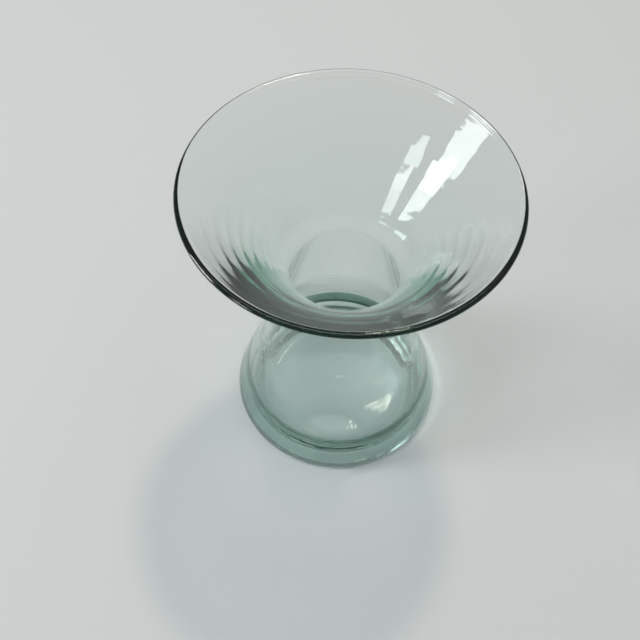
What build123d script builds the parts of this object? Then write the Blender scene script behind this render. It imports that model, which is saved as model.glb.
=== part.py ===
"""Free-standing glass vase: a wide funnel bowl, a pinched open throat, and a flared hollow foot
with a closed floor.  The wall of glass is continuous, so the vase is one solid of revolution.

Units are millimetres.  +Z is up, and the origin is the centre of the foot, on the table.
"""
from build123d import *
from math import atan2, cos, radians, tan
import os

# Overall size
height = 176.0                # table to the top of the lip
rim_radius = 75.0             # outside of the bowl's lip

# Bowl: a flared wall, steep above the throat and shallower below its rounded lip
rim_wall = 3.0                # glass at the lip, measured level
bowl_slope = 50.0             # a straight line from throat to lip, inside, degrees above level
rim_slope = 42.0              # the inner wall below the lip
bowl_taper = 4.5              # the outer wall is this much steeper, so the glass thickens downwards
bend_radius = 50.0            # where the inner wall's two slopes would meet without their curve
bend_round = 160.0

# Throat and waist: one long curve joins bowl and foot, inside and outside
throat_corner_radius = 25.5   # where the inner walls would meet without the curve
throat_round = 30.0
waist_corner_radius = 31.4    # the same for the outer walls
waist_round = 24.0

# Foot: a cone that flares out below the knee to a rounded heel
knee_radius = 43.5
knee_height = 54.0
knee_round = 120.0
heel_corner_radius = 61.2     # where the side would meet the table without its rounding
heel_round = 5.0
floor_round = 14.0            # inside, where the wall runs into the floor
side_wall = 4.2
floor_wall = 5.0

# Underside: a flat resting ring round a shallow hollow
rest_inner_radius = 50.0
kick_run = 8.0
kick_rise = 2.0
kick_round = 6.0

# Where the bowl's slopes meet each other, and where its walls meet the foot's
lip_height = height - rim_wall / 2
inner_rim = rim_radius - rim_wall
outer_bend_radius = bend_radius + rim_wall
bend_height = lip_height - (inner_rim - bend_radius) * tan(radians(rim_slope))
outer_bend_height = lip_height - (rim_radius - outer_bend_radius) * tan(
    radians(rim_slope + bowl_taper)
)
throat_height = lip_height - (inner_rim - throat_corner_radius) * tan(radians(bowl_slope))
waist_height = lip_height - (rim_radius - waist_corner_radius) * tan(
    radians(bowl_slope + bowl_taper)
)

# The inside of the foot follows its flare, one wall in
flare = atan2(heel_corner_radius - knee_radius, knee_height)
level_wall = side_wall / cos(flare)
floor_height = kick_rise + floor_wall
floor_corner_radius = heel_corner_radius - level_wall - floor_height * tan(flare)

with BuildPart() as vase:
    with BuildSketch(Plane.XZ):
        with BuildLine():
            inside = FilletPolyline(
                (0, floor_height),
                (floor_corner_radius, floor_height),
                (knee_radius - level_wall, knee_height),
                (throat_corner_radius, throat_height),
                (bend_radius, bend_height),
                (inner_rim, lip_height),
                radius=(floor_round, knee_round, throat_round, bend_round),
            )
            lip_top = (rim_radius - rim_wall / 2, height)
            lip = ThreePointArc(inside @ 1, lip_top, (rim_radius, lip_height))
            outside = FilletPolyline(
                lip @ 1,
                (outer_bend_radius, outer_bend_height),
                (waist_corner_radius, waist_height),
                (knee_radius, knee_height),
                (heel_corner_radius, 0),
                (rest_inner_radius, 0),
                radius=(bend_round, waist_round, knee_round, heel_round),
            )
            kick = FilletPolyline(
                outside @ 1,
                (rest_inner_radius - kick_run, kick_rise),
                (0, kick_rise),
                radius=kick_round,
            )
            Line(kick @ 1, inside @ 0)
        make_face()
    revolve(axis=Axis.Z)

os.makedirs("parts", exist_ok=True)
vase.part.label = "glass_vase"
export_step(vase.part, "parts/glass_vase.step")
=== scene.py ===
"""Looks of the free-standing glass vase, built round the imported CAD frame.  Metres, +Z up."""
import math
import random
from collections import namedtuple

import bmesh
import bpy
from mathutils import Matrix, Vector


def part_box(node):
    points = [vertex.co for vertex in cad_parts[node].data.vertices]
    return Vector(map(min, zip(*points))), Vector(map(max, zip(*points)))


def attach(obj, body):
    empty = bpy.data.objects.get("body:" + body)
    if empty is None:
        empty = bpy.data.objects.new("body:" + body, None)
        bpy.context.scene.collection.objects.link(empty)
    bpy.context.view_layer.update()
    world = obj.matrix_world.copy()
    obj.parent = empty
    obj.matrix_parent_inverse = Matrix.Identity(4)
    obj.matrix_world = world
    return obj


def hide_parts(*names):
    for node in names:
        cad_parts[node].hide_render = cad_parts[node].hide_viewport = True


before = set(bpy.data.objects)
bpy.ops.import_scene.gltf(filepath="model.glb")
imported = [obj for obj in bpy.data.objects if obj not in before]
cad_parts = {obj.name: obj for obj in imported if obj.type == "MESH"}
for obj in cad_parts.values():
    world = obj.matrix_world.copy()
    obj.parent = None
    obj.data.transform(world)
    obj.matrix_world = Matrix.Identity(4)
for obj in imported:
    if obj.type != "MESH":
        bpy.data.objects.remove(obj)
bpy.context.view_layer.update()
top_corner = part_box("glass_vase")[1]
HEIGHT = top_corner.z
RIM = top_corner.x                # outside of the bowl's lip
MM = 0.001

# The vase's section, as the CAD model has it
RIM_WALL = 3.0 * MM               # glass at the lip, measured level
BOWL_SLOPE = math.radians(50.0)   # a straight line from throat to lip, inside, above level
RIM_SLOPE = math.radians(42.0)    # the inner wall below the lip
BOWL_TAPER = math.radians(4.5)    # the outer wall is this much steeper
BEND = 50.0 * MM                  # where the inner wall's two slopes would meet
BEND_ROUND = 160.0 * MM
THROAT_CORNER = 25.5 * MM         # where the inner walls of bowl and foot would meet
THROAT_ROUND = 30.0 * MM
WAIST_CORNER = 31.4 * MM          # the same for the outer walls
WAIST_ROUND = 24.0 * MM
KNEE = 43.5 * MM                  # where the foot's flare sets in
KNEE_HEIGHT = 54.0 * MM
KNEE_ROUND = 120.0 * MM
HEEL_CORNER = 61.2 * MM           # where the side would meet the table
HEEL_ROUND = 5.0 * MM
SIDE_WALL = 4.2 * MM
FLOOR_WALL = 5.0 * MM
FLOOR_ROUND = 14.0 * MM           # inside, where the wall runs into the floor
REST_INNER = 50.0 * MM            # inner edge of the flat resting ring
KICK_RUN = 8.0 * MM               # the hollow underside rises over this run
KICK_RISE = 2.0 * MM
KICK_ROUND = 6.0 * MM
LIP_LEVEL = HEIGHT - RIM_WALL / 2

# How fine the mesh is
SEGMENTS = 480                    # round the vase
RUN_STEP = 1.2 * MM               # along a straight wall
ARC_STEP = math.radians(3.0)      # along a rounding
FEWEST_ARC_STEPS = 3
LIP_STEPS = 24                    # over the lip's half circle
ON_AXIS = 1e-7                    # a point nearer to the axis than this is on it

# Where the waves in the glass stop
LIP_STILL = 3 * MM                # the lip keeps its true shape this far down
FOOT_STILL = 98 * MM              # and the foot this far up
CALM = 16 * MM                    # the waves grow over this much more

# Glass
GLASS_INDEX = 1.52
GLASS_TINT = (0.43, 0.69, 0.61, 1)
GLASS_DENSITY = 40.0

# Light
DAYLIGHT = (0.95, 0.99, 1.0)
WARM = (1.0, 0.88, 0.72)
SKY = (0.96, 0.98, 1.0, 1)
SKY_STRENGTH = 0.24
DOWN = (0, 0, -1)
ALONG_X = (1, 0, 0)
ALONG_Y = (0, 1, 0)
WINDOW_WALL = -1.9                # two upright panes stand side by side in this plane

# Floor
FLOOR_HALF = 4.0
FLOOR_DROP = 0.1 * MM             # keeps the floor's face apart from the resting ring's
FLOOR_COLOUR = (0.66, 0.68, 0.68, 1)

# Camera: its place from the middle of the lip, and how it looks down and leans
CAMERA_FROM_LIP = Vector((-0.0112, -0.2181, 0.2390))
LOOKS_DOWN = math.radians(57.71)
LEANS = math.radians(2.08)
FOCAL_SHARE = 750 / 640           # focal length over the picture's width
SENSOR = 36                       # millimetres, as lenses are named
NEAREST_SEEN = 0.01

Band = namedtuple("Band", "fewest most count size drift")
Marks = namedtuple("Marks", "round_scale climb_scale depth")


def arc_at(before, corner, after, radius):
    """Points along the arc that rounds a corner of a polyline."""
    corner = Vector(corner)
    back = (Vector(before) - corner).normalized()
    ahead = (Vector(after) - corner).normalized()
    half = back.angle(ahead) / 2
    centre = corner + (back + ahead).normalized() * radius / math.sin(half)
    start = corner + back * radius / math.tan(half) - centre
    end = corner + ahead * radius / math.tan(half) - centre
    turn = start.angle_signed(end)
    count = max(FEWEST_ARC_STEPS, math.ceil(abs(turn) / ARC_STEP))
    return [centre + Matrix.Rotation(-turn * i / count, 2) @ start for i in range(count + 1)]


def close_set(path):
    """The path with points added, so that none is over RUN_STEP from the next."""
    dense = [path[0]]
    for point in path[1:]:
        origin = dense[-1].copy()
        gap = point - origin
        count = max(1, math.ceil(gap.length / RUN_STEP))
        dense.extend(origin + gap * i / count for i in range(1, count + 1))
    return dense


def rounded(points, radii):
    """The polyline through points, its inner corners rounded to radii, as close-set points."""
    path = [Vector(points[0])]
    for before, corner, after, radius in zip(points, points[1:], points[2:], radii):
        path.extend(arc_at(before, corner, after, radius))
    path.append(Vector(points[-1]))
    return close_set(path)


def inside_wall():
    """From the middle of the floor up to the lip."""
    inner_rim = RIM - RIM_WALL
    flare = math.atan2(HEEL_CORNER - KNEE, KNEE_HEIGHT)
    level_wall = SIDE_WALL / math.cos(flare)
    floor = KICK_RISE + FLOOR_WALL
    return rounded(
        [
            (0, floor),
            (HEEL_CORNER - level_wall - floor * math.tan(flare), floor),
            (KNEE - level_wall, KNEE_HEIGHT),
            (THROAT_CORNER, LIP_LEVEL - (inner_rim - THROAT_CORNER) * math.tan(BOWL_SLOPE)),
            (BEND, LIP_LEVEL - (inner_rim - BEND) * math.tan(RIM_SLOPE)),
            (inner_rim, LIP_LEVEL),
        ],
        [FLOOR_ROUND, KNEE_ROUND, THROAT_ROUND, BEND_ROUND],
    )


def round_lip():
    """The half circle over the lip, without its two ends."""
    half = RIM_WALL / 2
    angles = [math.pi * i / LIP_STEPS for i in range(1, LIP_STEPS)]
    return [
        Vector((RIM - half - half * math.cos(a), LIP_LEVEL + half * math.sin(a)))
        for a in angles
    ]


def outside_wall():
    """From the lip down to the inner edge of the resting ring."""
    outer_bend = BEND + RIM_WALL
    return rounded(
        [
            (RIM, LIP_LEVEL),
            (outer_bend, LIP_LEVEL - (RIM - outer_bend) * math.tan(RIM_SLOPE + BOWL_TAPER)),
            (WAIST_CORNER, LIP_LEVEL - (RIM - WAIST_CORNER) * math.tan(BOWL_SLOPE + BOWL_TAPER)),
            (KNEE, KNEE_HEIGHT),
            (HEEL_CORNER, 0),
            (REST_INNER, 0),
        ],
        [BEND_ROUND, WAIST_ROUND, KNEE_ROUND, HEEL_ROUND],
    )


def underside():
    """From the resting ring up into the shallow hollow and on to its middle."""
    return rounded(
        [(REST_INNER, 0), (REST_INNER - KICK_RUN, KICK_RISE), (0, KICK_RISE)], [KICK_ROUND]
    )


class Waves:
    """Slow waves round the vase that drift with height, as hot glass is left by the tools.

    A band adds up count waves, each with fewest to most crests round the vase.  Size is about
    how far they move the wall together, in metres, and drift is the most that a wave's phase
    shifts with height, in radians a metre.
    """

    def __init__(self, seed, bands):
        draw = random.Random(seed)
        self.parts = []
        for band in bands:
            size = band.size / band.count ** 0.5
            for _ in range(band.count):
                turns = draw.randint(band.fewest, band.most)
                twist = draw.uniform(-band.drift, band.drift)
                phase = draw.uniform(0, 2 * math.pi)
                self.parts.append((turns, twist, phase, size))

    def at(self, angle, z):
        return sum(
            size * math.sin(turns * angle + twist * z + phase)
            for turns, twist, phase, size in self.parts
        )


def settle(distance):
    """0 at a face that keeps its true shape, 1 well away from it."""
    share = min(max(distance / CALM, 0), 1)
    return share * share * (3 - 2 * share)


def ring_at(mesh, radius, z, waves):
    """The points of the wall at one place in its section: one point where that is the axis."""
    if radius < ON_AXIS:
        return [mesh.verts.new((0, 0, z))]
    calm = settle(HEIGHT - LIP_STILL - z) * settle(z - FOOT_STILL)
    ring = []
    for i in range(SEGMENTS):
        angle = 2 * math.pi * i / SEGMENTS
        r = radius + calm * waves.at(angle, z)
        ring.append(mesh.verts.new((r * math.cos(angle), r * math.sin(angle), z)))
    return ring


def join_rings(mesh, ring, following):
    """Faces between two rings, meeting in a point where one of them is on the axis."""
    for i in range(SEGMENTS):
        j = (i + 1) % SEGMENTS
        if len(ring) == 1:
            mesh.faces.new((ring[0], following[i], following[j]))
        elif len(following) == 1:
            mesh.faces.new((ring[i], following[0], ring[j]))
        else:
            mesh.faces.new((ring[i], following[i], following[j], ring[j]))


def add_piece(name, mesh):
    """A new object in the scene from a finished bmesh."""
    data = bpy.data.meshes.new(name)
    mesh.to_mesh(data)
    mesh.free()
    piece = bpy.data.objects.new(name, data)
    bpy.context.scene.collection.objects.link(piece)
    return piece


def make_vase():
    """The wall of glass, turned round the axis from its section."""
    outer_waves = Waves(3, [
        Band(2, 5, 3, 0.08 * MM, 30),
        Band(12, 24, 8, 0.018 * MM, 160),
        Band(25, 45, 10, 0.005 * MM, 250),
    ])
    inner_waves = Waves(8, [
        Band(2, 5, 3, 0.03 * MM, 30),
        Band(12, 24, 8, 0.004 * MM, 120),
        Band(25, 45, 10, 0.002 * MM, 250),
    ])
    inner = inside_wall()
    outer = round_lip() + outside_wall() + underside()[1:]
    mesh = bmesh.new()
    rings = [ring_at(mesh, radius, z, inner_waves) for radius, z in inner]
    rings += [ring_at(mesh, radius, z, outer_waves) for radius, z in outer]
    for ring, following in zip(rings, rings[1:]):
        join_rings(mesh, ring, following)
    bmesh.ops.recalc_face_normals(mesh, faces=mesh.faces)
    for face in mesh.faces:
        face.smooth = True
    return add_piece("vase_glass", mesh)


def wall_place(nodes, links):
    """Sockets for a point's heading from the axis, and for how far along the wall it is.

    Radius and height are added up for the second, so that it grows on the bowl's shallow wall
    and on the foot's steep one alike.
    """
    place = nodes.new("ShaderNodeTexCoord")
    parts = nodes.new("ShaderNodeSeparateXYZ")
    links.new(place.outputs["Object"], parts.inputs[0])
    level = nodes.new("ShaderNodeCombineXYZ")
    links.new(parts.outputs["X"], level.inputs["X"])
    links.new(parts.outputs["Y"], level.inputs["Y"])
    radius = nodes.new("ShaderNodeVectorMath")
    radius.operation = "LENGTH"
    links.new(level.outputs[0], radius.inputs[0])
    heading = nodes.new("ShaderNodeVectorMath")
    heading.operation = "NORMALIZE"
    links.new(level.outputs[0], heading.inputs[0])
    climb = nodes.new("ShaderNodeMath")
    climb.operation = "ADD"
    links.new(radius.outputs["Value"], climb.inputs[0])
    links.new(parts.outputs["Z"], climb.inputs[1])
    return heading.outputs[0], climb.outputs[0]


def add_marks(nodes, links, place, marks, below=None):
    """Bump from a noise, on top of the bump below.

    Marks say how fine it is round the vase and along the wall, and how deep.
    """
    heading, climb = place
    turn = nodes.new("ShaderNodeVectorMath")
    turn.operation = "SCALE"
    turn.inputs["Scale"].default_value = marks.round_scale
    links.new(heading, turn.inputs[0])
    rise = nodes.new("ShaderNodeMath")
    rise.operation = "MULTIPLY"
    rise.inputs[1].default_value = marks.climb_scale
    links.new(climb, rise.inputs[0])
    upright = nodes.new("ShaderNodeCombineXYZ")
    links.new(rise.outputs[0], upright.inputs["Z"])
    total = nodes.new("ShaderNodeVectorMath")
    total.operation = "ADD"
    links.new(turn.outputs[0], total.inputs[0])
    links.new(upright.outputs[0], total.inputs[1])
    noise = nodes.new("ShaderNodeTexNoise")
    noise.inputs["Scale"].default_value = 1.0
    links.new(total.outputs[0], noise.inputs["Vector"])
    bump = nodes.new("ShaderNodeBump")
    bump.inputs["Distance"].default_value = marks.depth
    links.new(noise.outputs["Fac"], bump.inputs["Height"])
    if below:
        links.new(below.outputs["Normal"], bump.inputs["Normal"])
    return bump


def glass_material():
    """Clear glass, sea-green with depth, with turned ripples and faint upright streaks."""
    material = bpy.data.materials.new("sea_green_glass")
    material.use_nodes = True
    nodes, links = material.node_tree.nodes, material.node_tree.links
    shader = nodes["Principled BSDF"]
    shader.inputs["Base Color"].default_value = (1, 1, 1, 1)
    shader.inputs["Roughness"].default_value = 0.0
    shader.inputs["IOR"].default_value = GLASS_INDEX
    shader.inputs["Transmission Weight"].default_value = 1.0
    place = wall_place(nodes, links)
    ripples = add_marks(nodes, links, place, Marks(4.0, 330.0, 0.026 * MM))
    streaks = add_marks(nodes, links, place, Marks(18.0, 15.0, 0.010 * MM), ripples)
    links.new(streaks.outputs["Normal"], shader.inputs["Normal"])
    absorb = nodes.new("ShaderNodeVolumeAbsorption")
    absorb.inputs["Color"].default_value = GLASS_TINT
    absorb.inputs["Density"].default_value = GLASS_DENSITY
    links.new(absorb.outputs["Volume"], nodes["Material Output"].inputs["Volume"])
    return material


def make_floor():
    """A plain pale floor under the vase."""
    mesh = bmesh.new()
    bmesh.ops.create_grid(mesh, x_segments=2, y_segments=2, size=FLOOR_HALF)
    floor = add_piece("floor", mesh)
    floor.location.z = -FLOOR_DROP
    pale = bpy.data.materials.new("pale_floor")
    pale.use_nodes = True
    shader = pale.node_tree.nodes["Principled BSDF"]
    shader.inputs["Base Color"].default_value = FLOOR_COLOUR
    shader.inputs["Roughness"].default_value = 0.9
    shader.inputs["Specular IOR Level"].default_value = 0.1
    floor.data.materials.append(pale)
    return floor


def softbox(name, place, facing, across, size, power, colour):
    """A rectangular light; the first of its two sizes lies along across."""
    light = bpy.data.lights.new(name, "AREA")
    light.shape = "RECTANGLE"
    light.size, light.size_y = size
    light.energy = power
    light.color = colour
    back = -Vector(facing).normalized()
    side = Vector(across)
    side = (side - back * side.dot(back)).normalized()
    turned = Matrix((side, back.cross(side), back)).transposed().to_4x4()
    lamp = bpy.data.objects.new(name, light)
    lamp.matrix_world = Matrix.Translation(place) @ turned
    bpy.context.scene.collection.objects.link(lamp)


def light_studio():
    """A soft ceiling, two window panes to the left, a small warm lamp, and a pale sky."""
    softbox("ceiling", (0.1, 0.2, 2.1), DOWN, ALONG_X, (2.0, 2.0), 17, DAYLIGHT)
    softbox("window_near", (WINDOW_WALL, -0.14, 0.81), ALONG_X, ALONG_Y, (0.60, 1.02), 22, DAYLIGHT)
    softbox("window_far", (WINDOW_WALL, -1.24, 0.85), ALONG_X, ALONG_Y, (0.62, 0.80), 14, DAYLIGHT)
    softbox("lamp", (0.155, 0.60, 1.40), DOWN, ALONG_X, (0.13, 0.13), 4.5, WARM)
    world = bpy.data.worlds.new("studio")
    bpy.context.scene.world = world
    world.use_nodes = True
    sky = world.node_tree.nodes["Background"]
    sky.inputs["Color"].default_value = SKY
    sky.inputs["Strength"].default_value = SKY_STRENGTH
    bpy.context.scene.view_settings.view_transform = "Standard"


def aim_camera():
    """A camera over the near side of the vase, looking down into its bowl."""
    forward = Vector((0, math.cos(LOOKS_DOWN), -math.sin(LOOKS_DOWN)))
    level = Vector(ALONG_X)
    upward = level.cross(forward)
    right = math.cos(LEANS) * level + math.sin(LEANS) * upward
    up = math.cos(LEANS) * upward - math.sin(LEANS) * level
    turned = Matrix((right, up, -forward)).transposed().to_4x4()
    lens = bpy.data.cameras.new("camera")
    lens.sensor_width = SENSOR
    lens.lens = SENSOR * FOCAL_SHARE
    lens.clip_start = NEAREST_SEEN
    camera = bpy.data.objects.new("camera", lens)
    camera.matrix_world = Matrix.Translation(Vector((0, 0, LIP_LEVEL)) + CAMERA_FROM_LIP) @ turned
    bpy.context.scene.collection.objects.link(camera)
    bpy.context.scene.camera = camera


def set_light_paths():
    """Light has to cross many walls of glass, and runs along inside the bowl's."""
    cycles = bpy.context.scene.cycles
    cycles.max_bounces = 40
    cycles.transmission_bounces = 40
    cycles.glossy_bounces = 16
    cycles.blur_glossy = 0.0


vase = make_vase()
vase.data.materials.append(glass_material())
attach(vase, "root")
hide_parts("glass_vase")
make_floor()
light_studio()
aim_camera()
set_light_paths()
